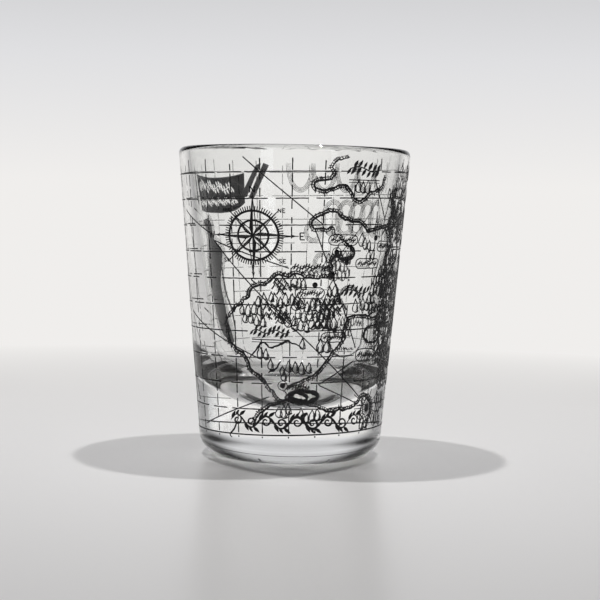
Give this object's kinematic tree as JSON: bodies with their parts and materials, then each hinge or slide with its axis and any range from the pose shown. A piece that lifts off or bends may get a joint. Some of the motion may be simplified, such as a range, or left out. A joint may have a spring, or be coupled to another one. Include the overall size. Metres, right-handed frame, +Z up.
{
  "type": "shot glass",
  "caption": "Small tapered clear shot glass with a thick solid base, its outside printed all round with a black antique-style map and compass rose.",
  "frame": {"origin": "centre of the base ring, in the plane that the glass stands on", "axes": "+Z up along the axis of the glass towards the rim; -Y is the front, the side with the compass rose; +X is to the right seen from the front"},
  "size_m": [0.0478, 0.0478, 0.0635],
  "materials": {
    "clear_glass": "clear soda-lime glass, pressed and fire polished",
    "black_enamel": "black ceramic enamel, screen printed and fired on, semi-gloss"
  },
  "bodies": {
    "root": {"glass_body": "clear_glass", "print_parallels": "black_enamel", "print_meridians": "black_enamel", "print_border_line": "black_enamel", "print_compass_rings": "black_enamel", "print_compass_ticks": "black_enamel", "print_compass_needles": "black_enamel", "print_compass_letters": "black_enamel", "print_coastlines": "black_enamel", "print_rhumb_lines": "black_enamel", "print_rivers": "black_enamel", "print_trees": "black_enamel", "print_mountains": "black_enamel", "print_town_marks": "black_enamel", "print_name_plates": "black_enamel", "print_title_ornament": "black_enamel", "print_atoll": "black_enamel", "print_ribbon_banner": "black_enamel", "print_ribbon_streamer": "black_enamel", "print_garlands": "black_enamel"}
  },
  "joints": []
}
